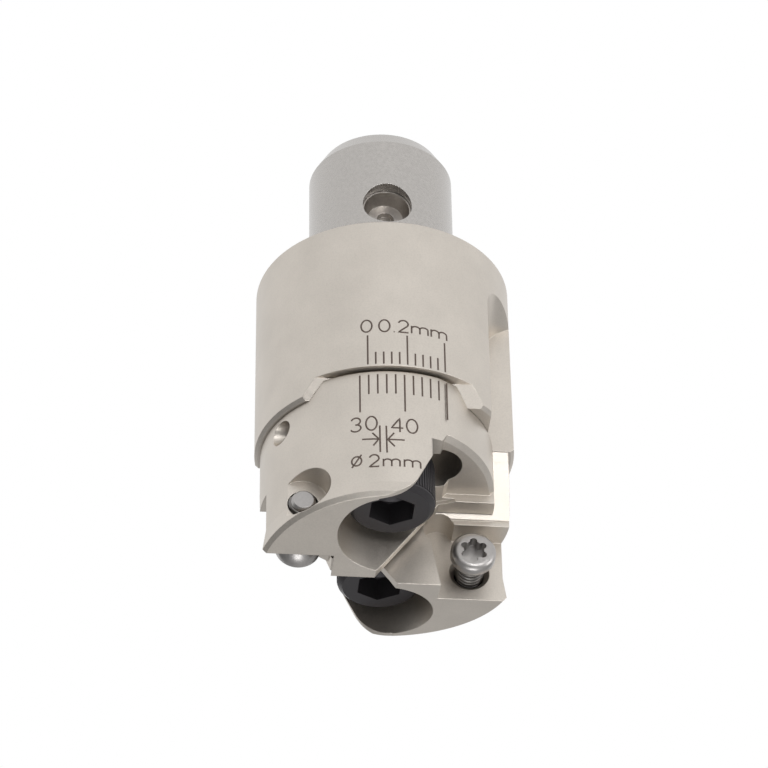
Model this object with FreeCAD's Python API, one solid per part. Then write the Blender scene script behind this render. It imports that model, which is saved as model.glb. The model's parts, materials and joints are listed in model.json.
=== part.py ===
"""Twin-edge rough boring head: shank body, two sliding insert holders and their screws.

Millimetres. The origin is the centre of the flange face that seats against the boring bar.
+Z runs up the spigot, the tool axis is Z, and both insert holders slide along X on the guide
under the body. Holder "a" stands in front (-Y) and opens towards -X; holder "b" is the same
piece turned half a turn about Z, so it opens towards +X.
"""
import FreeCAD, Part
import math
import os

from FreeCAD import Vector

# ---- body and spigot -------------------------------------------------------------------
body_diameter = 31.0
body_length = 22.0            # flange face to the outer land of the guide end
body_edge_chamfer = 0.4
spigot_diameter = 18.0
spigot_length = 20.4
spigot_lead_length = 2.3
spigot_lead_depth = 1.3
spigot_seam_turn = 37.5       # degrees, keeps the turned surface's seam clear of the cross bore

# ---- floating pin across the spigot ------------------------------------------------------
pin_height = 8.2              # above the flange face
pin_diameter = 6.0
pin_bore_clearance = 0.06     # on the diameter
pin_recess = 1.4              # each pin end lies this far inside the spigot's surface
pin_cone_rim = 0.2            # flat ring left round the cone mouth
pin_cone_depth = 1.9
pin_cone_bottom_diameter = 4.4
pin_centre_hole_diameter = 2.1
pin_centre_hole_depth = 0.8

# ---- dovetail guide between body and holders ----------------------------------------------
guide_root_width = 24.9       # across the flanks, level with the outer land
guide_height = 2.4
guide_flank_angle = 30.0      # from the vertical
guide_clearance = 0.06
lip_clearance = 0.35          # holder's lip to the outer land

# ---- chip flutes in the body ---------------------------------------------------------------
flute_plane_y = 2.8           # distance of the flute floor from the tool axis
flute_wall_x = 11.7
flute_runout_radius = 4.5
flute_runout_height = 10.7    # runout centre, below the flange face
flute_runout_lean = 21.0      # degrees

# ---- insert holders --------------------------------------------------------------------------
# heights are drops below the guide end, the face that the holders hang from
holder_diameter = 29.6
nose_drop = 17.3              # to the nose ridge
nose_relief_angle = 7.0
nose_chamfer = 0.5
nose_flare_drop = 13.6        # below this the turned outside widens
nose_flare_angle = 8.0
trail_relief_x = 2.0          # centre of the eccentric turned back on the trailing end
trail_relief_y = 0.9
face_tilt = 21.4              # chip face of the holder, from the vertical
face_end_drop = 7.9           # the tilted chip face ends on the seat face here
seat_face_y = 0.5
mate_clearance = 0.2          # between the two holders' long faces
mid_clearance = 0.1           # between their step walls
holder_travel = 5.0

# ---- trailing chip space of a holder ---------------------------------------------------------
space_ceiling_drop = 6.2
space_wall_foot = 0.1         # outer wall's distance from the axis at the nose ridge
space_wall_angle = 26.8       # from the vertical
space_foot_radius = 5.0       # rounds the outer wall into the nose
web_wall_foot = -1.45         # the same for the web beside the other holder
web_wall_angle = 37.3
rib_front_y = 2.4
rib_drop = 7.3
space_edge_chamfer = 0.6

# ---- clamp screws, M6 socket head cap ---------------------------------------------------------
clamp_y = 7.9
clamp_thread_diameter = 6.0
clamp_thread_length = 16.0
clamp_head_diameter = 10.0
clamp_head_height = 6.0
clamp_hex = 5.0
clamp_hex_turn = 30.0         # degrees, as the screws stand when tight
clamp_hex_depth = 3.0
clamp_head_chamfer = 0.6
clamp_seat_drop = 6.85
clamp_seat_clearance = 0.02
clamp_slot_clearance = 0.3    # round the thread
clamp_head_clearance = 1.3    # round the head
tapped_clearance = 0.05       # thread to tapped wall
tapped_extra_depth = 1.5

# ---- insert seats and insert screws, M3.5 -------------------------------------------------------
insert_thickness = 3.97
insert_angle = 80.0           # corner of the rhombic insert
seat_ceiling_drop = 8.6
seat_wall_x = 6.5             # wall's distance from the axis at the nose
seat_relief_x = 6.5
seat_relief_drop = 9.3
seat_relief_radius = 1.9
insert_screw_x = 10.3
insert_screw_drop = 13.0
insert_thread_diameter = 3.5
insert_head_diameter = 5.35
insert_head_flat_diameter = 3.53
insert_head_rim = 0.9
insert_head_dome = 0.5
insert_head_cone = 1.5
insert_screw_length = 10.5
insert_head_stand = 1.4       # head face in front of the seat face
insert_tip_chamfer = 0.6
insert_socket_diameter = 3.3
insert_socket_core_diameter = 2.38
insert_lobe_diameter = 0.86
insert_socket_depth = 1.5
insert_mouth_diameter = 4.8
spot_radius = 2.9
spot_y = 8.6
spot_rise = 0.4               # spot face centre above the screw's axis

# ---- adjusting screws, M3.5 set screw, drawn at the thread's core -----------------------------------
adjust_y = 7.3
adjust_drop = 2.1
adjust_core_diameter = 2.9
adjust_bore_clearance = 0.1   # on the diameter
adjust_length = 8.0
adjust_hex = 1.6
adjust_hex_depth = 2.0
adjust_chamfer = 0.4
adjust_contact_gap = 0.02     # screw's end to the clamp screw's shank

# ---- worked out -------------------------------------------------------------------------------------
body_radius = body_diameter / 2
holder_radius = holder_diameter / 2
guide_z = -body_length - guide_height
seat_z = guide_z - guide_clearance
lip_z = -body_length - lip_clearance
nose_z = guide_z - nose_drop
nose_flare_z = guide_z - nose_flare_drop
face_end_z = guide_z - face_end_drop
space_ceiling_z = guide_z - space_ceiling_drop
rib_bottom_z = guide_z - rib_drop
clamp_seat_z = guide_z - clamp_seat_drop
seat_ceiling_z = guide_z - seat_ceiling_drop
seat_relief_z = guide_z - seat_relief_drop
insert_screw_z = guide_z - insert_screw_drop
adjust_z = guide_z - adjust_drop
reach = 4 * body_diameter     # longer than anything that is cut
on_surface = 0.02             # how far a point may lie off a surface and still count as on it


def prism_x(profile, x0, x1):
    """Prism along X over a profile of (y, z) corners."""
    wire = Part.makePolygon([Vector(x0, y, z) for y, z in profile + profile[:1]])
    return Part.Face(wire).extrude(Vector(x1 - x0, 0, 0))


def prism_y(profile, y0, y1):
    """Prism along Y over a profile of (x, z) corners."""
    wire = Part.makePolygon([Vector(x, y0, z) for x, z in profile + profile[:1]])
    return Part.Face(wire).extrude(Vector(0, y1 - y0, 0))


def block(x0, x1, y0, y1, z0, z1):
    return Part.makeBox(x1 - x0, y1 - y0, z1 - z0, Vector(x0, y0, z0))


def rod_z(radius, x, y, z0, z1):
    return Part.makeCylinder(radius, z1 - z0, Vector(x, y, z0), Vector(0, 0, 1))


def revolve_z(profile):
    """Solid turned about Z from (radius, z) corners."""
    wire = Part.makePolygon([Vector(r, 0, z) for r, z in profile + profile[:1]])
    return Part.Face(wire).revolve(Vector(0, 0, 0), Vector(0, 0, 1), 360)


def slot_z(radius, x0, x1, y, z0, z1):
    """Upright round-ended slot from centre x0 to centre x1."""
    ends = rod_z(radius, x0, y, z0, z1).fuse(rod_z(radius, x1, y, z0, z1))
    return ends.fuse(block(min(x0, x1), max(x0, x1), y - radius, y + radius, z0, z1))


def hex_socket(across_flats, depth):
    """Hexagon pocket with a drill-point bottom, open at z = 0 and running down."""
    corner = across_flats / math.sqrt(3)
    turns = [math.radians(60 * k) for k in range(7)]
    rim = Part.makePolygon([Vector(corner * math.cos(t), corner * math.sin(t), 0) for t in turns])
    pocket = Part.Face(rim).extrude(Vector(0, 0, -depth))
    point = Part.makeCone(0, across_flats / 2, across_flats / 4, Vector(0, 0, -depth - across_flats / 4))
    return pocket.fuse(point)


def lobe_socket(diameter, core_diameter, lobe_diameter, depth):
    """Six-lobe pocket, open at z = 0 and running down."""
    lobe_radius = lobe_diameter / 2
    lobe_centre = diameter / 2 - lobe_radius
    pocket = rod_z(core_diameter / 2, 0, 0, -depth, 0)
    for k in range(6):
        turn = math.radians(60 * k + 30)
        pocket = pocket.fuse(rod_z(lobe_radius, lobe_centre * math.cos(turn),
                                   lobe_centre * math.sin(turn), -depth, 0))
    return pocket


def half_turn(shape):
    """The same piece, turned half a turn about the tool axis."""
    turned = shape.copy()
    turned.rotate(Vector(0, 0, 0), Vector(0, 0, 1), 180)
    return turned


def flank_y(z):
    """Distance of the guide's flank from the XZ plane at height z."""
    return guide_root_width / 2 + (z + body_length) * math.tan(math.radians(guide_flank_angle))


def face_y(z):
    """Y of holder b's chip face at height z: upright on the body, tilted below it."""
    return -flute_plane_y + (guide_z - z) * math.tan(math.radians(face_tilt))


def edges_on(shape, test):
    """Edges whose two ends and middle all pass the test."""
    found = []
    for edge in shape.Edges:
        first, last = edge.ParameterRange
        points = [edge.valueAt(first + (last - first) * k / 4) for k in range(5)]
        if all(test(p) for p in points):
            found.append(edge)
    return found


# ---- body ---------------------------------------------------------------------------------------------

def body_flute():
    """Chip flute on the front right of the body, with its leaning run-out."""
    radius = flute_runout_radius
    lower = block(flute_wall_x, reach, -reach, -flute_plane_y, -reach, -flute_runout_height)
    runout = Part.makeCylinder(radius, 2 * reach, Vector(0, -reach, 0), Vector(0, 1, 0))
    runout = runout.fuse(block(-radius, reach, -reach, reach, -2 * radius, 0))
    runout.rotate(Vector(0, 0, 0), Vector(1, 0, 0), -flute_runout_lean)
    runout.translate(Vector(flute_wall_x + radius, -flute_plane_y, -flute_runout_height))
    return lower.fuse(runout.common(block(0, reach, -reach, -flute_plane_y, -reach, reach)))


def head_body():
    """Flange, spigot and guide in one piece."""
    chamfer = body_edge_chamfer
    land = -body_length
    flange = revolve_z([(0, 0), (body_radius - chamfer, 0), (body_radius, -chamfer),
                        (body_radius, guide_z + chamfer), (body_radius - chamfer, guide_z), (0, guide_z)])
    for side in (-1, 1):
        outside = [(side * flank_y(land), land), (side * flank_y(guide_z), guide_z),
                   (side * flank_y(guide_z), -reach), (side * reach, -reach), (side * reach, land)]
        flange = flange.cut(prism_x(outside, -reach, reach))
    spigot_radius = spigot_diameter / 2
    spigot = revolve_z([(0, -chamfer), (spigot_radius, -chamfer),
                        (spigot_radius, spigot_length - spigot_lead_length),
                        (spigot_radius - spigot_lead_depth, spigot_length), (0, spigot_length)])
    spigot.rotate(Vector(0, 0, 0), Vector(0, 0, 1), spigot_seam_turn)
    body = flange.fuse(spigot)
    flute = body_flute()
    body = body.cut(flute).cut(half_turn(flute))
    bore = Part.makeCylinder((pin_diameter + pin_bore_clearance) / 2, spigot_diameter,
                             Vector(0, -spigot_radius, pin_height), Vector(0, 1, 0))
    body = body.cut(bore)
    tap_radius = clamp_thread_diameter / 2 + tapped_clearance
    tap_top = clamp_seat_z + clamp_thread_length + tapped_extra_depth
    for y in (-clamp_y, clamp_y):
        body = body.cut(rod_z(tap_radius, 0, y, -reach, tap_top))
        body = body.cut(Part.makeCone(tap_radius, 0, tap_radius / 2, Vector(0, y, tap_top)))
    return body.removeSplitter()


def floating_pin():
    """Pin across the spigot; the bar's locking screws press into its cone ends."""
    radius = pin_diameter / 2
    half = spigot_diameter / 2 - pin_recess
    pin = Part.makeCylinder(radius, 2 * half, Vector(0, -half, pin_height), Vector(0, 1, 0))
    cone_bottom = pin_cone_bottom_diameter / 2
    hole = pin_centre_hole_diameter / 2
    for side in (-1, 1):
        inward = Vector(0, -side, 0)
        mouth = Vector(0, side * half, pin_height)
        pin = pin.cut(Part.makeCone(radius - pin_cone_rim, cone_bottom, pin_cone_depth, mouth, inward))
        floor = mouth + inward * pin_cone_depth
        pin = pin.cut(Part.makeCylinder(hole, pin_centre_hole_depth, floor, inward))
    return pin


# ---- insert holder --------------------------------------------------------------------------------------

def holder_blank():
    """Turned blank: full radius on the cutting side, eccentric relief on the trailing side."""
    foot_z = nose_z - nose_chamfer
    flare = (nose_flare_z - foot_z) * math.tan(math.radians(nose_flare_angle))
    full = revolve_z([(0, lip_z), (holder_radius, lip_z), (holder_radius, nose_flare_z),
                      (holder_radius + flare, foot_z), (0, foot_z)])
    relief = full.copy()
    relief.translate(Vector(trail_relief_x, trail_relief_y, 0))
    blank = full.common(relief)
    guide = [(-reach, seat_z), (flank_y(seat_z) + guide_clearance, seat_z),
             (flank_y(0) + guide_clearance, 0), (-reach, 0)]
    blank = blank.cut(prism_x(guide, -reach, reach))
    slope = math.tan(math.radians(nose_relief_angle))
    nose = [(-reach, nose_z - reach * slope), (reach, nose_z + reach * slope),
            (reach, -3 * reach), (-reach, -3 * reach)]
    return blank.cut(prism_x(nose, -reach, reach))


def mating_faces():
    """Room for the other holder: chip face, step wall and trailing face."""
    step = mid_clearance / 2
    tilt = math.tan(math.radians(face_tilt))
    meet_z = guide_z - (flute_plane_y + mate_clearance / 2) / tilt
    lead = [(-reach, 0), (face_y(0), 0), (face_y(face_end_z), face_end_z), (seat_face_y, face_end_z),
            (seat_face_y, -reach), (-reach, -reach)]
    trail = [(-reach, 0), (mate_clearance - face_y(0), 0), (mate_clearance / 2, meet_z),
             (mate_clearance / 2, face_end_z), (seat_face_y, face_end_z), (seat_face_y, -reach),
             (-reach, -reach)]
    return prism_x(lead, step, reach).fuse(prism_x(trail, -reach, step))


def wall_x(z, foot, angle):
    """X of an inclined wall of the trailing chip space at height z."""
    return -foot - (z - nose_z) * math.tan(math.radians(angle))


def rounded_foot():
    """Prism that rounds the outer wall of the chip space into the nose."""
    lean = math.radians(space_wall_angle)
    slope = math.tan(math.radians(nose_relief_angle))
    corner_z = nose_z + holder_radius * slope
    corner = Vector(wall_x(corner_z, space_wall_foot, space_wall_angle), 0, corner_z)
    tangent = space_foot_radius * math.tan((math.pi / 2 - lean) / 2)
    up_wall = corner + Vector(-math.sin(lean), 0, math.cos(lean)) * tangent
    along_nose = corner + Vector(tangent, 0, 0)
    centre = along_nose + Vector(0, 0, space_foot_radius)
    middle = centre + (corner - centre).normalize() * space_foot_radius
    below = [along_nose, along_nose + Vector(0, 0, -reach), Vector(-reach, 0, corner_z - reach),
             Vector(-reach, 0, up_wall.z), up_wall]
    edges = [Part.Arc(up_wall, middle, along_nose).toShape()]
    edges += [Part.makeLine(below[k], below[k + 1]) for k in range(len(below) - 1)]
    face = Part.Face(Part.Wire(edges))
    face.translate(Vector(0, clamp_y, 0))
    return face.extrude(Vector(0, reach, 0))


def chip_space():
    """Space behind the clamp screw that lets the chips past the trailing end."""
    parts = []
    for top, y0, y1, foot, angle in (
            (space_ceiling_z, clamp_y, reach, space_wall_foot, space_wall_angle),
            (space_ceiling_z, rib_front_y, clamp_y, web_wall_foot, web_wall_angle),
            (rib_bottom_z, -reach, rib_front_y, web_wall_foot, web_wall_angle)):
        outline = [(wall_x(-reach, foot, angle), -reach), (wall_x(top, foot, angle), top),
                   (-reach, top), (-reach, -reach)]
        parts.append(prism_y(outline, y0, y1))
    return parts[0].fuse(parts[1]).fuse(parts[2]).fuse(rounded_foot())


def clamp_slots():
    """Head pocket and thread slot that let the holder travel past its clamp screw."""
    head = slot_z(clamp_head_diameter / 2 + clamp_head_clearance, 0, -holder_travel, clamp_y,
                  -reach, clamp_seat_z)
    thread = slot_z(clamp_thread_diameter / 2 + clamp_slot_clearance, 0, -holder_travel, clamp_y,
                    -reach, 0)
    return head.fuse(thread)


def insert_seat():
    """Seat for an 80 degree rhombic insert, with its corner relief."""
    lean = math.tan(math.radians(90 - insert_angle))
    top_x = seat_wall_x - (seat_ceiling_z - nose_z) * lean
    foot_x = seat_wall_x + (reach + nose_z) * lean
    outline = [(foot_x, -reach), (top_x, seat_ceiling_z), (reach, seat_ceiling_z), (reach, -reach)]
    seat = prism_y(outline, -reach, insert_thickness)
    relief = Part.makeCylinder(seat_relief_radius, reach + insert_thickness,
                               Vector(seat_relief_x, -reach, seat_relief_z), Vector(0, 1, 0))
    return seat.fuse(relief)


def insert_screw_hole():
    """Tapped hole through the seat, countersunk mouth and spot face on the back."""
    along = Vector(0, 1, 0)
    radius = insert_thread_diameter / 2 + tapped_clearance
    mouth = insert_mouth_diameter / 2
    start = Vector(insert_screw_x, insert_thickness, insert_screw_z)
    hole = Part.makeCylinder(radius, reach, start, along)
    hole = hole.fuse(Part.makeCone(mouth, radius, mouth - radius, start, along))
    spot_centre = Vector(insert_screw_x, spot_y, insert_screw_z + spot_rise)
    return hole.fuse(Part.makeCylinder(spot_radius, reach, spot_centre, along))


def adjust_bore():
    """Tapped bore along X for the adjusting screw."""
    radius = (adjust_core_diameter + adjust_bore_clearance) / 2
    return Part.makeCylinder(radius, reach, Vector(0, adjust_y, adjust_z), Vector(1, 0, 0))


def chamfered_nose(holder):
    """Break the turned rim of the nose face."""
    slope = math.tan(math.radians(nose_relief_angle))

    def on_rim(p):
        flare = (nose_flare_z - p.z) * math.tan(math.radians(nose_flare_angle))
        return (abs(p.z - nose_z - p.y * slope) < on_surface
                and abs(math.hypot(p.x, p.y) - holder_radius - flare) < on_surface)

    return holder.makeChamfer(nose_chamfer, edges_on(holder, on_rim))


def chamfered_space(holder):
    """Break the outer edge of the chip space's ceiling."""
    def on_edge(p):
        turned = math.hypot(p.x - trail_relief_x, p.y - trail_relief_y)
        return abs(p.z - space_ceiling_z) < on_surface and abs(turned - holder_radius) < on_surface

    return holder.makeChamfer(space_edge_chamfer, edges_on(holder, on_edge))


def insert_holder():
    """Holder b: cutting side towards +X, standing behind the tool axis (+Y)."""
    holder = holder_blank()
    for cutter in (mating_faces(), chip_space(), insert_seat()):
        holder = holder.cut(cutter)
    holder = chamfered_space(chamfered_nose(holder))
    for cutter in (clamp_slots(), insert_screw_hole(), adjust_bore()):
        holder = holder.cut(cutter)
    return holder.removeSplitter()


# ---- screws -----------------------------------------------------------------------------------------------

def clamp_screw():
    """M6 socket head cap screw, head down, at holder b."""
    head_top = clamp_seat_z - clamp_seat_clearance
    head_face = head_top - clamp_head_height
    head = clamp_head_diameter / 2
    shank = clamp_thread_diameter / 2
    tip = head_top + clamp_thread_length
    chamfer = clamp_head_chamfer
    screw = revolve_z([(0, head_face), (head - chamfer, head_face), (head, head_face + chamfer),
                       (head, head_top), (shank, head_top), (shank, tip - chamfer),
                       (shank - chamfer, tip), (0, tip)])
    socket = hex_socket(clamp_hex, clamp_hex_depth)
    socket.rotate(Vector(0, 0, 0), Vector(0, 0, 1), clamp_hex_turn)
    socket.rotate(Vector(0, 0, 0), Vector(1, 0, 0), 180)
    socket.translate(Vector(0, 0, head_face))
    screw = screw.cut(socket)
    screw.translate(Vector(0, clamp_y, 0))
    return screw


def insert_screw():
    """M3.5 six-lobe screw, standing out of the empty seat of holder b."""
    head = insert_head_diameter / 2
    shank = insert_thread_diameter / 2
    rim = -insert_head_dome - insert_head_rim
    neck = rim - insert_head_cone
    tip = -insert_screw_length
    flat = insert_head_flat_diameter / 2
    chamfer = insert_tip_chamfer
    lower = [(head, -insert_head_dome), (head, rim), (shank, neck), (shank, tip + chamfer),
             (shank - chamfer, tip), (0, tip), (0, 0), (flat, 0)]
    crown = Vector((flat + head) / 2, 0, -insert_head_dome * (1 - math.sqrt(3) / 2))
    edges = [Part.Arc(Vector(flat, 0, 0), crown, Vector(head, 0, -insert_head_dome)).toShape()]
    edges += [Part.makeLine(Vector(r0, 0, z0), Vector(r1, 0, z1))
              for (r0, z0), (r1, z1) in zip(lower, lower[1:])]
    screw = Part.Face(Part.Wire(edges)).revolve(Vector(0, 0, 0), Vector(0, 0, 1), 360)
    screw = screw.cut(lobe_socket(insert_socket_diameter, insert_socket_core_diameter,
                                  insert_lobe_diameter, insert_socket_depth))
    screw.rotate(Vector(0, 0, 0), Vector(1, 0, 0), 90)
    screw.translate(Vector(insert_screw_x, seat_face_y - insert_head_stand, insert_screw_z))
    return screw


def adjusting_screw():
    """Set screw in holder b; its inner end bears on the clamp screw's shank."""
    radius = adjust_core_diameter / 2
    chamfer = adjust_chamfer
    screw = revolve_z([(0, 0), (radius - chamfer, 0), (radius, -chamfer),
                       (radius, -adjust_length + chamfer), (radius - chamfer, -adjust_length),
                       (0, -adjust_length)])
    screw = screw.cut(hex_socket(adjust_hex, adjust_hex_depth))
    screw.rotate(Vector(0, 0, 0), Vector(0, 1, 0), 90)
    outer_end = clamp_thread_diameter / 2 + adjust_contact_gap + adjust_length
    screw.translate(Vector(outer_end, adjust_y, adjust_z))
    return screw


def main():
    os.makedirs("parts", exist_ok=True)
    pieces = {"head_body": head_body(), "floating_pin": floating_pin()}
    paired = {"insert_holder": insert_holder(), "clamp_screw": clamp_screw(),
              "insert_screw": insert_screw(), "adjusting_screw": adjusting_screw()}
    for name, shape in paired.items():
        pieces[name + "_a"] = half_turn(shape)
        pieces[name + "_b"] = shape
    for name, shape in pieces.items():
        print(name, "solids", len(shape.Solids), "valid", shape.isValid(), "volume", round(shape.Volume, 1))
        shape.exportStep("parts/" + name + ".step")


main()
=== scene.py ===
# %% [markdown]
# # Boring head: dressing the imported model
#
# The solids come in as a fixed frame, in metres. Blender adds what the solids leave out: the
# engraved scales, the threads, the knurled screw heads and the finish of every surface.

# %% Load the frame
import json
import math
import bmesh
import bpy
from mathutils import Matrix, Vector

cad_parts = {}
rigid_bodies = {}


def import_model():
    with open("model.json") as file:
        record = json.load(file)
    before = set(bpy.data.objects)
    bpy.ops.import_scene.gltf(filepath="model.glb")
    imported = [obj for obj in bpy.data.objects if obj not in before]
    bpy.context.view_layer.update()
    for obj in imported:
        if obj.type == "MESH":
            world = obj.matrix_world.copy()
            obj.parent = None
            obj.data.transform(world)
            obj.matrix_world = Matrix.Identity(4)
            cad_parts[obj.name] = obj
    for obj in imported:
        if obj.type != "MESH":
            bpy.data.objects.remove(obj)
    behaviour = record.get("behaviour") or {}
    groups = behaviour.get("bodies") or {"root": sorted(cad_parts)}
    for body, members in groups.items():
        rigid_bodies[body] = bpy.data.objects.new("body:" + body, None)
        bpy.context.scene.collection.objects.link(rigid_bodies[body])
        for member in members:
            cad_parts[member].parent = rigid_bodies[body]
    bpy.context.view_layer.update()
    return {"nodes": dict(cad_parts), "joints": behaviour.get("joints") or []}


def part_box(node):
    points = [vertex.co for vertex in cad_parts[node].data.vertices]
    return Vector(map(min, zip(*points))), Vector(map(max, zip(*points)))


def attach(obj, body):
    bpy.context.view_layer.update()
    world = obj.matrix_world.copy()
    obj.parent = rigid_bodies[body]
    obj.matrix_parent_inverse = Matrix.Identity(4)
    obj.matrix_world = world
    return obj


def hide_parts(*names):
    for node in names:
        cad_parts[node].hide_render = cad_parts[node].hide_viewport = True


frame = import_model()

MM = 0.001
nodes = frame["nodes"]
joints = {joint["name"]: joint for joint in frame["joints"]}
print("nodes:", sorted(nodes))


# %% [markdown]
# ## What the frame says about places
#
# The scales and threads are placed from the nodes' own boxes and from the joints' axes. The tool
# axis is Z. The front half of the head (-Y) carries holder a, and the back half carries holder b,
# which is the same piece half a turn about Z. A holder's nose flares out below its scale, so its
# box doesn't give the radius of the turned part that the scale is engraved on, and that is stated.

# %% Measure the frame
body_low, body_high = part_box("head_body")
body_radius = body_high.x
spigot_top = body_high.z
holder_radius = 14.8 * MM
print("body radius, mm:", round(body_radius / MM, 2))
print("guide end to spigot top, mm:", round(body_low.z / MM, 2), round(spigot_top / MM, 2))


# %% [markdown]
# ## Shader helpers
#
# Every finish is built from nodes. The helpers below add a node, start a material, make a colour
# ramp and give Object coordinates in millimetres, which keeps the recipes short enough to read.
# All pieces share one origin, so a pattern given in millimetres has its real size on each.

# %% Add one node
def add(tree, kind, inputs=None, **settings):
    """Add one node; inputs may be values or sockets to link from."""
    node = tree.nodes.new(kind)
    for key, value in settings.items():
        setattr(node, key, value)
    for key, value in (inputs or {}).items():
        if isinstance(value, bpy.types.NodeSocket):
            tree.links.new(value, node.inputs[key])
        else:
            node.inputs[key].default_value = value
    return node


def calculate(tree, operation, first, second=0.0):
    """One Math node's result; it works in shader and in geometry trees."""
    return add(tree, "ShaderNodeMath", {0: first, 1: second}, operation=operation).outputs[0]


# %% Start a material
def start_material(name):
    """A new material with its tree and its Principled shader."""
    material = bpy.data.materials.new(name)
    material.use_nodes = True
    tree = material.node_tree
    return material, tree, tree.nodes["Principled BSDF"]


def shade(tone, amount):
    """A colour made darker or lighter by a factor."""
    return tuple(min(1.0, c * amount) for c in tone)


# %% Colour ramp and millimetre coordinates
def ramp(tree, factor, *stops):
    """Colour ramp node from (position, grey or colour) stops."""
    node = add(tree, "ShaderNodeValToRGB", {"Fac": factor})
    while len(node.color_ramp.elements) < len(stops):
        node.color_ramp.elements.new(0.5)
    for element, (position, colour) in zip(node.color_ramp.elements, stops):
        element.position = position
        if isinstance(colour, (int, float)):
            colour = (colour, colour, colour)
        element.color = (*colour, 1)
    return node.outputs["Color"]


def object_mm(tree):
    """Object coordinates in millimetres."""
    place = add(tree, "ShaderNodeTexCoord").outputs["Object"]
    scaled = add(tree, "ShaderNodeVectorMath", {0: place, "Scale": 1 / MM}, operation="SCALE")
    return scaled.outputs[0]


def noise(tree, place, per_mm, detail):
    """Noise with that many features to the millimetre."""
    texture = add(tree, "ShaderNodeTexNoise", {"Vector": place, "Scale": per_mm, "Detail": detail})
    return texture.outputs["Fac"]


def softened_edges(tree, radius):
    """Surface normal with the light rounded over sharp edges."""
    return add(tree, "ShaderNodeBevel", {"Radius": radius}, samples=6).outputs["Normal"]


# %% [markdown]
# ## Satin nickelled steel
#
# The body and the holders are hardened steel with a thin, warm nickel coat over a ground or
# blasted surface. Three scales of detail make it read as metal: a faint cloud of tone some
# millimetres across, a grain of about a fifth of a millimetre, and edges painted a little
# brighter, partly as wear and partly as a painted highlight. An image could hold all this, but
# noise has no seams and stays sharp close to. The Bevel node rounds the light on sharp CAD edges
# without touching the mesh.

# %% Make the coated steel
nickel_tone = (0.62, 0.575, 0.52)
nickel_roughness = 0.42
grain = 0.35
grain_depth = 0.02 * MM
clouds_per_mm, grains_per_mm = 0.22, 5.5
# width of the edge band: it rounds the light and is painted lighter, partly as wear, partly as
# painted highlight
edge_wear_and_highlight_width = 0.12 * MM
print("nickel tone", nickel_tone, "roughness", nickel_roughness)


def coated_steel(name):
    """Nickelled steel with cloudy tone, fine grain, and edges painted brighter: part wear, part
    painted highlight.
    """
    material, tree, shader = start_material(name)
    place = object_mm(tree)
    cloud = noise(tree, place, clouds_per_mm, 3.0)
    speck = noise(tree, place, grains_per_mm, 2.0)
    light = shade(nickel_tone, 1.04)
    base = ramp(tree, cloud, (0.3, shade(nickel_tone, 0.96)), (0.7, light))
    spots = ramp(tree, speck, (0.35, 0.80), (0.6, 1.0))
    grained = add(tree, "ShaderNodeMix", {"Factor": grain, "A": base, "B": spots},
                  data_type="RGBA", blend_type="MULTIPLY").outputs[2]
    rounded = softened_edges(tree, edge_wear_and_highlight_width)
    true = add(tree, "ShaderNodeNewGeometry").outputs["True Normal"]
    bend = add(tree, "ShaderNodeVectorMath", {0: rounded, 1: true}, operation="DOT_PRODUCT")
    # mask along every edge: the colour there is painted lighter, partly as wear and partly as a
    # painted highlight
    edge_wear_and_highlight_mask = ramp(tree, bend.outputs["Value"], (0.82, 1.0), (0.985, 0.0))
    edge_wear_and_highlight_colour = add(tree, "ShaderNodeMix", {"Factor": edge_wear_and_highlight_mask, "A": grained, "B": (*light, 1)},
               data_type="RGBA").outputs[2]
    rough = ramp(tree, speck, (0.3, nickel_roughness - 0.05), (0.7, nickel_roughness + 0.06))
    bump = add(tree, "ShaderNodeBump", {"Height": speck, "Strength": grain / 2,
                                        "Distance": grain_depth, "Normal": rounded})
    tree.links.new(edge_wear_and_highlight_colour, shader.inputs["Base Color"])
    tree.links.new(rough, shader.inputs["Roughness"])
    tree.links.new(bump.outputs["Normal"], shader.inputs["Normal"])
    shader.inputs["Metallic"].default_value = 1.0
    return material


# %% Put the coated steel on
def finish_node(name, material):
    """Give one CAD node its finish."""
    slots = nodes[name].data.materials
    slots.clear()
    slots.append(material)


body_finish = coated_steel("satin_nickel_body")
holder_finish = coated_steel("satin_nickel_holder")
for name in ("insert_holder_a", "insert_holder_b"):
    finish_node(name, holder_finish)
finish_node("head_body", body_finish)
print("coated:", body_finish.name, holder_finish.name)


# %% [markdown]
# ## Ground spigot, pin and screws
#
# The spigot is ground bright, the pin is turned, so its cone shows fine rings, and the clamp
# screws are black oxide, which is dark but still a little glossy. One recipe serves them all:
# grained metal whose bump is either the grain itself or, on the pin, rings along its axis. The
# spigot belongs to the body node, so its finish is a second slot that only the faces above the
# flange take.

# %% Make the plain metals
small_edge = 0.08 * MM
coarse_grains_per_mm = 2.6
ring_waves = 0.314              # wave texture scale that gives one ring to the millimetre


def grained_metal(name, tone, roughness, depth=0.006, rings=None, metallic=1.0):
    """Grained metal; rings is the (axis, spacing in millimetres) of turning marks."""
    material, tree, shader = start_material(name)
    place = object_mm(tree)
    speck = noise(tree, place, coarse_grains_per_mm, 4.0)
    base = ramp(tree, speck, (0.3, shade(tone, 0.93)), (0.7, shade(tone, 1.06)))
    rough = ramp(tree, speck, (0.3, roughness - 0.06), (0.7, roughness + 0.06))
    height = speck
    if rings:
        axis, spacing = rings
        height = add(tree, "ShaderNodeTexWave",
                     {"Vector": place, "Scale": ring_waves / spacing, "Distortion": 0.6,
                      "Detail": 2.0}, bands_direction=axis).outputs["Fac"]
    bump = add(tree, "ShaderNodeBump", {"Height": height, "Strength": 0.6, "Distance": depth * MM,
                                        "Normal": softened_edges(tree, small_edge)})
    tree.links.new(base, shader.inputs["Base Color"])
    tree.links.new(rough, shader.inputs["Roughness"])
    tree.links.new(bump.outputs["Normal"], shader.inputs["Normal"])
    shader.inputs["Metallic"].default_value = metallic
    return material


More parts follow.
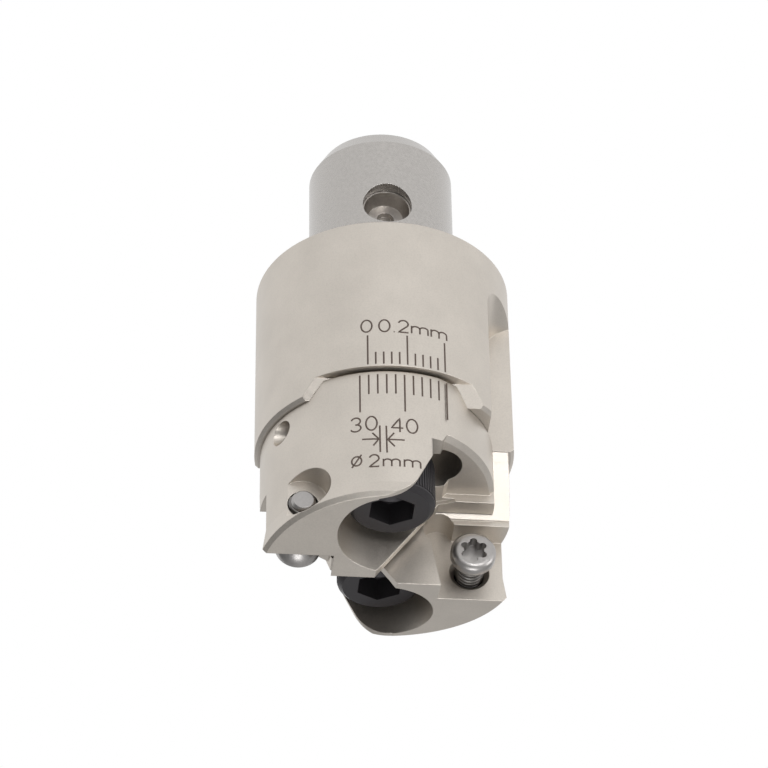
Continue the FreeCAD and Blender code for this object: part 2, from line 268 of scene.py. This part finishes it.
spigot_finish = grained_metal("ground_spigot", (0.47, 0.45, 0.43), 0.28, depth=0.0006)
pin_finish = grained_metal("turned_pin", (0.48, 0.45, 0.42), 0.34, depth=0.02, rings=("Y", 0.22))
black_finish = grained_metal("black_oxide", (0.045, 0.042, 0.045), 0.38, metallic=0.6)
screw_finish = grained_metal("hardened_screw", (0.40, 0.385, 0.375), 0.36)
thread_finish = grained_metal("oiled_thread", (0.20, 0.19, 0.18), 0.40)
laser_finish = grained_metal("laser_brown", (0.15, 0.11, 0.09), 0.55, metallic=0.2)
print("metals:", spigot_finish.name, pin_finish.name, black_finish.name, screw_finish.name,
      thread_finish.name, laser_finish.name)

# %% Put the plain metals on
above_flange = 0.1 * MM
finish_node("floating_pin", pin_finish)
for name in ("clamp_screw_a", "clamp_screw_b", "adjusting_screw_a", "adjusting_screw_b"):
    finish_node(name, black_finish)
body_mesh = nodes["head_body"].data
body_mesh.materials.append(spigot_finish)
for face in body_mesh.polygons:
    if face.center.z > above_flange:
        face.material_index = 1
print("spigot faces:", sum(face.material_index == 1 for face in body_mesh.polygons))


# %% [markdown]
# ## Engraved scales
#
# The scales are laser marks: brown lines and figures of one even width, as a single-stroke
# engraver draws them. A font would give the strokes uneven widths, so each figure here is its own
# path on a flat sheet, with s along the turned surface and z up the tool. A Geometry Nodes tree
# gives the paths their width, then rolls the sheet round the drum.

# %% Single-stroke figures
def arc(x, y, rx, ry, first, last, steps=10):
    """Points on an elliptical arc, angles in degrees."""
    turns = [math.radians(first + (last - first) * k / steps) for k in range(steps + 1)]
    return [(x + rx * math.cos(t), y + ry * math.sin(t)) for t in turns]


# each sign is drawn for a height of one: its width, then its strokes; O is the diameter sign
figures = {
    "0": (0.66, [arc(0.33, 0.5, 0.33, 0.5, 90, 450, 24)]),
    "2": (0.62, [arc(0.31, 0.70, 0.30, 0.30, 165, -35, 14) + [(0.0, 0.0), (0.62, 0.0)]]),
    "3": (0.62, [arc(0.29, 0.74, 0.28, 0.26, 160, -85, 12),
                 arc(0.29, 0.25, 0.31, 0.25, 95, -160, 14)]),
    "4": (0.70, [[(0.5, 0.0), (0.5, 1.0), (0.0, 0.3), (0.70, 0.3)]]),
    ".": (0.12, [[(0.03, 0.0), (0.09, 0.0)]]),
    "m": (1.05, [[(0.0, 0.0), (0.0, 0.62)], arc(0.26, 0.40, 0.26, 0.20, 180, 0) + [(0.52, 0.0)],
                 arc(0.78, 0.40, 0.26, 0.20, 180, 0) + [(1.04, 0.0)]]),
    "O": (0.80, [arc(0.40, 0.45, 0.36, 0.40, 90, 450, 24), [(0.05, -0.08), (0.76, 0.98)]]),
}
print("figures:", " ".join(figures))


# %% Write a word and rule a scale
def write(text, s, z, height, gap=0.2, wide=1.0):
    """Paths of a word that starts at s, standing on z, in millimetres."""
    paths = []
    for letter in text:
        width, strokes = figures[letter]
        paths += [[(s + px * height * wide, z + py * height) for px, py in path]
                  for path in strokes]
        s += (width * wide + gap) * height
    return paths


def rule(first, pitch, foot, minor, major):
    """Eleven upright lines from foot, every fifth one long."""
    return [[(first + k * pitch, foot), (first + k * pitch, major if k % 5 == 0 else minor)]
            for k in range(11)]


# %% Lay out the body's vernier
body_marks = rule(first=-3.3, pitch=0.93, foot=-21.75, minor=-20.0, major=-17.5)
body_marks += write("0", -4.05, -17.0, 1.75, wide=1.1)
body_marks += write("0.2mm", -1.95, -17.05, 1.75, gap=0.22, wide=1.1)
print("marks on the body:", len(body_marks))

# %% Lay out a holder's scale, with arrows that show what one division means
holder_marks = rule(first=-4.2, pitch=1.045, foot=-22.75, minor=-25.55, major=-28.05)
holder_marks += write("30", -5.3, -30.75, 1.95, gap=0.28)
holder_marks += write("40", -0.6, -31.05, 1.95, gap=0.2)
holder_marks += write("O", -5.3, -35.65, 1.6)
holder_marks += write("2mm", -3.2, -35.9, 1.65, gap=0.3, wide=1.1)
holder_marks += [[(-1.95, -30.15), (-1.92, -33.9)], [(-1.2, -30.2), (-1.15, -34.0)],
                 [(-4.0, -31.95), (-2.1, -32.05)],
                 [(-2.8, -31.15), (-2.05, -32.05), (-2.72, -32.95)],
                 [(0.9, -32.15), (-1.0, -32.15)],
                 [(-0.3, -31.2), (-1.05, -32.15), (-0.25, -33.1)]]
print("marks on a holder:", len(holder_marks))


# %% [markdown]
# ## Geometry Nodes trees
#
# The scales, the knurls and the threads each follow a rule, so a tree makes each of them from a
# few named sizes. A loop could place every vertex instead, but a tree can be opened and tried
# with other sizes. Each ends in Realize Instances and Set Material, because an export drops
# instances. The inputs are set by their identifiers before the tree first runs, and the result
# is kept as a plain mesh.

# %% Start a generator tree
def start_generator(name, **sockets):
    """A Geometry Nodes tree with named inputs; returns it with its input sockets."""
    tree = bpy.data.node_groups.new(name, "GeometryNodeTree")
    tree.interface.new_socket("Geometry", in_out="INPUT", socket_type="NodeSocketGeometry")
    for label, kind in sockets.items():
        tree.interface.new_socket(label.replace("_", " "), in_out="INPUT",
                                  socket_type="NodeSocket" + kind)
    tree.interface.new_socket("Finish", in_out="INPUT", socket_type="NodeSocketMaterial")
    tree.interface.new_socket("Geometry", in_out="OUTPUT", socket_type="NodeSocketGeometry")
    return tree, add(tree, "NodeGroupInput").outputs


def end_generator(tree, geometry, finish):
    """Realize what the tree made, paint it and send it out."""
    real = add(tree, "GeometryNodeRealizeInstances", {"Geometry": geometry})
    painted = add(tree, "GeometryNodeSetMaterial", {"Geometry": real.outputs[0],
                                                    "Material": finish})
    add(tree, "NodeGroupOutput", {"Geometry": painted.outputs[0]})
    print("tree:", tree.name, "nodes", len(tree.nodes))
    return tree


# %% The tree that engraves paths on a drum
def drum_engraver():
    """Flat paths get a width and a thickness, then roll round a drum."""
    tree, given = start_generator("engrave_on_drum", Line_width="Float", Line_thickness="Float",
                                  Drum_radius="Float")
    ribbon = add(tree, "GeometryNodeCurvePrimitiveQuadrilateral",
                 {"Width": given["Line width"], "Height": given["Line thickness"]})
    upright = add(tree, "GeometryNodeSetCurveNormal", {"Curve": given["Geometry"]}, mode="Z_UP")
    divided = add(tree, "GeometryNodeSubdivideCurve", {"Curve": upright.outputs[0], "Cuts": 4})
    strip = add(tree, "GeometryNodeCurveToMesh",
                {"Curve": divided.outputs[0], "Profile Curve": ribbon.outputs[0],
                 "Fill Caps": True})
    sheet = add(tree, "GeometryNodeInputPosition").outputs[0]
    flat = add(tree, "ShaderNodeSeparateXYZ", {"Vector": sheet}).outputs
    turn = calculate(tree, "DIVIDE", flat["X"], given["Drum radius"])
    radius = calculate(tree, "ADD", given["Drum radius"], flat["Z"])
    across = calculate(tree, "MULTIPLY", calculate(tree, "SINE", turn), radius)
    depth = calculate(tree, "MULTIPLY", calculate(tree, "COSINE", turn), radius)
    rolled = add(tree, "ShaderNodeCombineXYZ", {"X": across, "Z": flat["Y"],
                                                "Y": calculate(tree, "MULTIPLY", depth, -1.0)})
    placed = add(tree, "GeometryNodeSetPosition", {"Geometry": strip.outputs[0],
                                                   "Position": rolled.outputs[0]})
    return end_generator(tree, placed.outputs[0], given["Finish"])


engraver = drum_engraver()


# %% Run a tree and keep its result as a plain mesh
def link_new(name, data):
    """A new object in the scene."""
    item = bpy.data.objects.new(name, data)
    bpy.context.scene.collection.objects.link(item)
    return item


def generate(name, tree, data, **inputs):
    """Run a tree over some data; returns the result as a plain piece at the origin."""
    worker = link_new(name + "_worker", data)
    modifier = worker.modifiers.new(tree.name, "NODES")
    modifier.node_group = tree
    for item in tree.interface.items_tree:
        key = item.name.replace(" ", "_")
        if item.item_type == "SOCKET" and item.in_out == "INPUT" and key in inputs:
            modifier[item.identifier] = inputs[key]
    bpy.context.view_layer.update()
    depsgraph = bpy.context.evaluated_depsgraph_get()
    mesh = bpy.data.meshes.new_from_object(worker.evaluated_get(depsgraph))
    bpy.data.objects.remove(worker)
    print(name, "faces", len(mesh.polygons))
    return link_new(name, mesh)


# %% Engrave the four scales
line_width = 0.2 * MM
line_thickness = 0.02 * MM


def engrave(name, paths, radius, turned):
    """Engrave flat paths on a drum; the back copy is half a turn round."""
    curve = bpy.data.curves.new(name + "_paths", "CURVE")
    curve.dimensions = "3D"
    for path in paths:
        spline = curve.splines.new("POLY")
        spline.points.add(len(path) - 1)
        for point, (s, z) in zip(spline.points, path):
            point.co = (s * MM, z * MM, 0, 1)
    piece = generate(name, engraver, curve, Line_width=line_width, Line_thickness=line_thickness,
                     Drum_radius=radius, Finish=laser_finish)
    if turned:
        piece.data.transform(Matrix.Rotation(math.pi, 4, "Z"))
    return piece


for name, turned in (("body_scale_front", False), ("body_scale_back", True)):
    scale = engrave(name, body_marks, body_radius, turned)
    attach(scale, "body")
for letter, turned in (("a", False), ("b", True)):
    scale = engrave("holder_scale_" + letter, holder_marks, holder_radius, turned)
    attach(scale, "holder_" + letter)


# %% [markdown]
# ## Knurled screw heads
#
# A cap screw's head is knurled with straight ridges so that fingers can start it. A bump would
# leave the head's outline smooth, so one small ridge is repeated round a circle by Geometry Nodes.

# %% The tree that repeats a ridge round a head
def head_knurler():
    """Upright ridges stand round a circle, each facing outwards."""
    tree, given = start_generator("knurl_head", Head_radius="Float", Ridge_height="Float",
                                  Ridge_depth="Float", Ridge_width="Float", Ridge_count="Int")
    ring = add(tree, "GeometryNodeMeshCircle", {"Vertices": given["Ridge count"],
                                                "Radius": given["Head radius"]})
    size = add(tree, "ShaderNodeCombineXYZ", {"X": given["Ridge depth"], "Y": given["Ridge width"],
                                              "Z": given["Ridge height"]}).outputs[0]
    ridge = add(tree, "GeometryNodeMeshCube", {"Size": size})
    place = add(tree, "GeometryNodeInputPosition").outputs[0]
    facing = add(tree, "FunctionNodeAlignRotationToVector", {"Vector": place},
                 axis="X", pivot_axis="Z")
    ridges = add(tree, "GeometryNodeInstanceOnPoints",
                 {"Points": ring.outputs[0], "Instance": ridge.outputs[0],
                  "Rotation": facing.outputs[0]})
    return end_generator(tree, ridges.outputs[0], given["Finish"])


knurler = head_knurler()

# %% Knurl both clamp screws
head_height = 6 * MM
plain_ends = 1.5 * MM           # of the head's height, both ends together
ridge_height = head_height - plain_ends
ridge_start = 0.85 * MM         # above the head's face, clear of its chamfer
ridge_depth, ridge_width, ridge_count = 0.16 * MM, 0.22 * MM, 72
for letter in "ab":
    low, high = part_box("clamp_screw_" + letter)
    knurl = generate("clamp_head_knurl_" + letter, knurler, bpy.data.meshes.new("seed"),
                     Head_radius=(high.x - low.x) / 2, Ridge_height=ridge_height,
                     Ridge_depth=ridge_depth, Ridge_width=ridge_width, Ridge_count=ridge_count,
                     Finish=black_finish)
    centre = (low + high) / 2
    centre.z = low.z + ridge_start + ridge_height / 2
    knurl.data.transform(Matrix.Translation(centre))
    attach(knurl, "clamp_screw_" + letter)


# %% [markdown]
# ## Threaded insert screws
#
# The solid draws the insert screws with plain shanks. Here a merged copy of each has its shank
# brought down to the core, and a thread winds round it: a spiral path given a three-sided profile
# by Geometry Nodes, which is closed at both ends. A Screw modifier could wind it too, but the
# tree keeps its pitch and turns as named inputs. The copy stands for the CAD node.

# %% The tree that winds a thread
def thread_winder():
    """A spiral path gets a three-sided profile."""
    tree, given = start_generator("wind_thread", Spiral_radius="Float", Pitch="Float",
                                  Turns="Float", Ridge="Float")
    height = calculate(tree, "MULTIPLY", given["Pitch"], given["Turns"])
    path = add(tree, "GeometryNodeCurveSpiral",
               {"Resolution": 40, "Rotations": given["Turns"],
                "Start Radius": given["Spiral radius"], "End Radius": given["Spiral radius"],
                "Height": height})
    profile = add(tree, "GeometryNodeCurvePrimitiveCircle", {"Resolution": 3,
                                                             "Radius": given["Ridge"]})
    ridge = add(tree, "GeometryNodeCurveToMesh",
                {"Curve": path.outputs[0], "Profile Curve": profile.outputs[0],
                 "Fill Caps": True})
    return end_generator(tree, ridge.outputs[0], given["Finish"])


winder = thread_winder()

# %% Bring a screw's shank down to its core
core = 1.42 * MM
head_depth = 2.6 * MM           # from the head's face; the shank starts a little past this
merge_distance = 0.0005 * MM


def cored_screw(letter, side, pivot):
    """Copy of an insert screw with a thin shank, and the span of the screw along Y."""
    mesh = nodes["insert_screw_" + letter].data.copy()
    shape = bmesh.new()
    shape.from_mesh(mesh)
    bmesh.ops.remove_doubles(shape, verts=shape.verts, dist=merge_distance)
    face_y = min(side * v.co.y for v in shape.verts)
    tip_y = max(side * v.co.y for v in shape.verts)
    for v in shape.verts:
        away = Vector((v.co.x - pivot.x, 0, v.co.z - pivot.z))
        if side * v.co.y - face_y > head_depth and away.length > core:
            away *= core / away.length
            v.co.x, v.co.z = pivot.x + away.x, pivot.z + away.z
    shape.to_mesh(mesh)
    shape.free()
    mesh.materials.clear()
    mesh.materials.append(screw_finish)
    return link_new("insert_screw_shaped_" + letter, mesh), face_y, tip_y


# %% Thread both insert screws
pitch = 0.6 * MM
thread_ridge = 0.27 * MM
thread_lift = 0.04 * MM         # from the core out to the spiral path
thread_start = 2.9 * MM         # from the head's face, where its cone meets the shank
thread_margin = 3.2 * MM        # head and tip, which carry no thread
turns_short = 0.6               # left off, so that the path ends before the tip's chamfer
for letter, side in (("a", -1), ("b", 1)):
    pivot = Vector(joints[f"insert_screw_{letter}_turn"]["pos_m"])
    screw, face_y, tip_y = cored_screw(letter, side, pivot)
    thread = generate("insert_screw_thread_" + letter, winder, bpy.data.meshes.new("seed"),
                      Spiral_radius=core + thread_lift, Pitch=pitch,
                      Turns=(tip_y - face_y - thread_margin) / pitch - turns_short,
                      Ridge=thread_ridge, Finish=thread_finish)
    along_shank = Matrix.Rotation(-side * math.pi / 2, 4, "X")
    start = Vector((pivot.x, side * (face_y + thread_start), pivot.z))
    thread.data.transform(Matrix.Translation(start) @ along_shank)
    for piece in (screw, thread):
        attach(piece, "insert_screw_" + letter)
    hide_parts("insert_screw_" + letter)


# %% [markdown]
# ## Floor
#
# The head stands on its spigot, cutting end up, as it would on a bench, so in the tool's own frame
# the floor lies above it and faces down. It is white where it is seen, dull where it catches
# light, and clear from behind, so that a view from the spigot's side isn't shut off. A backdrop
# that curves up would suit one view only; a flat bench and a white world suit them all.

# %% White bench
bench_gap = 0.1 * MM
bench_reach = 3.0
corners = [(-bench_reach, -bench_reach, 0), (-bench_reach, bench_reach, 0),
           (bench_reach, bench_reach, 0), (bench_reach, -bench_reach, 0)]
bench_mesh = bpy.data.meshes.new("bench")
bench_mesh.from_pydata(corners, [], [(0, 1, 2, 3)])
bench = link_new("bench", bench_mesh)
bench.location.z = spigot_top + bench_gap

# %% Bench finish
bench_finish, tree, dull = start_material("white_bench")
dull.inputs["Base Color"].default_value = (0.8, 0.8, 0.8, 1)
dull.inputs["Roughness"].default_value = 0.9
white = add(tree, "ShaderNodeEmission", {"Color": (1, 1, 1, 1), "Strength": 1.0}).outputs[0]
clear = add(tree, "ShaderNodeBsdfTransparent").outputs[0]
rays = add(tree, "ShaderNodeLightPath").outputs
seen = calculate(tree, "MAXIMUM", rays["Is Camera Ray"], rays["Is Glossy Ray"])
lit = add(tree, "ShaderNodeMixShader", {0: seen, 1: dull.outputs[0], 2: white})
behind = add(tree, "ShaderNodeNewGeometry").outputs["Backfacing"]
bench_surface = add(tree, "ShaderNodeMixShader", {0: behind, 1: lit.outputs[0], 2: clear})
tree.links.new(bench_surface.outputs[0], tree.nodes["Material Output"].inputs["Surface"])
bench_mesh.materials.append(bench_finish)
print("bench at", round(bench.location.z / MM, 2), "mm")


# %% [markdown]
# ## Lamps and world
#
# Three broad soft lamps give the turned surfaces a slow change of tone: one in front, one on the
# right and one beyond the cutting end, where the ceiling would be. The world is white where it is
# seen, and elsewhere a grey that is darker on the left, which keeps the metal from looking flat.

# %% Lamps
aim = Vector((0, 0, -0.02))


def softbox(name, place, size, power):
    """A square soft lamp aimed at the head; metres and watts."""
    light = bpy.data.lights.new(name, "AREA")
    light.size, light.energy = size, power
    item = link_new(name, light)
    item.location = place
    item.rotation_euler = (aim - Vector(place)).to_track_quat("-Z", "Y").to_euler()


softbox("front_softbox", (0.12, -0.6, 0.0), 0.22, 1.3)
softbox("right_softbox", (0.5, -0.3, -0.1), 0.2, 0.6)
softbox("low_softbox", (0.0, -0.15, -0.55), 0.3, 0.9)
print("lamps:", len(bpy.data.lights))

# %% World
scene = bpy.context.scene
world = bpy.data.worlds.new("studio")
scene.world = world
world.use_nodes = True
sky = world.node_tree
plain = sky.nodes["Background"]
white = add(sky, "ShaderNodeBackground", {"Color": (1, 1, 1, 1), "Strength": 1.0}).outputs[0]
sky_rays = add(sky, "ShaderNodeLightPath").outputs
shown = calculate(sky, "MAXIMUM", sky_rays["Is Camera Ray"], sky_rays["Is Transmission Ray"])
across = add(sky, "ShaderNodeTexCoord").outputs["Generated"]
side = add(sky, "ShaderNodeSeparateXYZ", {"Vector": across}).outputs["X"]
share = add(sky, "ShaderNodeMapRange", {"Value": side, "From Min": -1.0, "From Max": 1.0})
# left to right
greys = ramp(sky, share.outputs[0], (0.0, 0.24), (0.35, 0.42), (0.6, 0.62), (1.0, 0.5))
sky.links.new(greys, plain.inputs["Color"])
blend = add(sky, "ShaderNodeMixShader", {0: shown, 1: plain.outputs[0], 2: white})
sky.links.new(blend.outputs[0], sky.nodes["World Output"].inputs["Surface"])
print("world:", world.name)


# %% [markdown]
# ## Camera
#
# The camera looks up at the cutting end from in front and a little to the left, through a long
# lens, so that the cutting end comes forward and the scales can be read. It is built from its
# three axes, because aiming it with a constraint would leave no room for its small roll.

# %% Place the camera
elevation, azimuth, roll = math.radians(36.301), math.radians(-5.793), math.radians(-0.856)
distance = 400 * MM
target = Vector((0, 0, -20 * MM))
back = Vector((math.sin(azimuth) * math.cos(elevation), -math.cos(azimuth) * math.cos(elevation),
               -math.sin(elevation)))
right = (-back).cross(Vector((0, 0, 1))).normalized()
upward = right.cross(-back)
turned_right = right * math.cos(roll) + upward * math.sin(roll)
turned_up = upward * math.cos(roll) - right * math.sin(roll)
camera_data = bpy.data.cameras.new("product_camera")
camera = link_new("product_camera", camera_data)
camera.location = target + back * distance
camera.rotation_euler = Matrix((turned_right, turned_up, back)).transposed().to_euler()

# %% Set the lens and the view
camera_data.sensor_width = 36
camera_data.lens = 156.14
camera_data.shift_x = 0.0003
camera_data.shift_y = 0.0605
camera_data.clip_start = 0.01
scene.camera = camera
scene.view_settings.view_transform = "Standard"
print("lens", round(camera_data.lens, 1), "mm at", distance, "m")
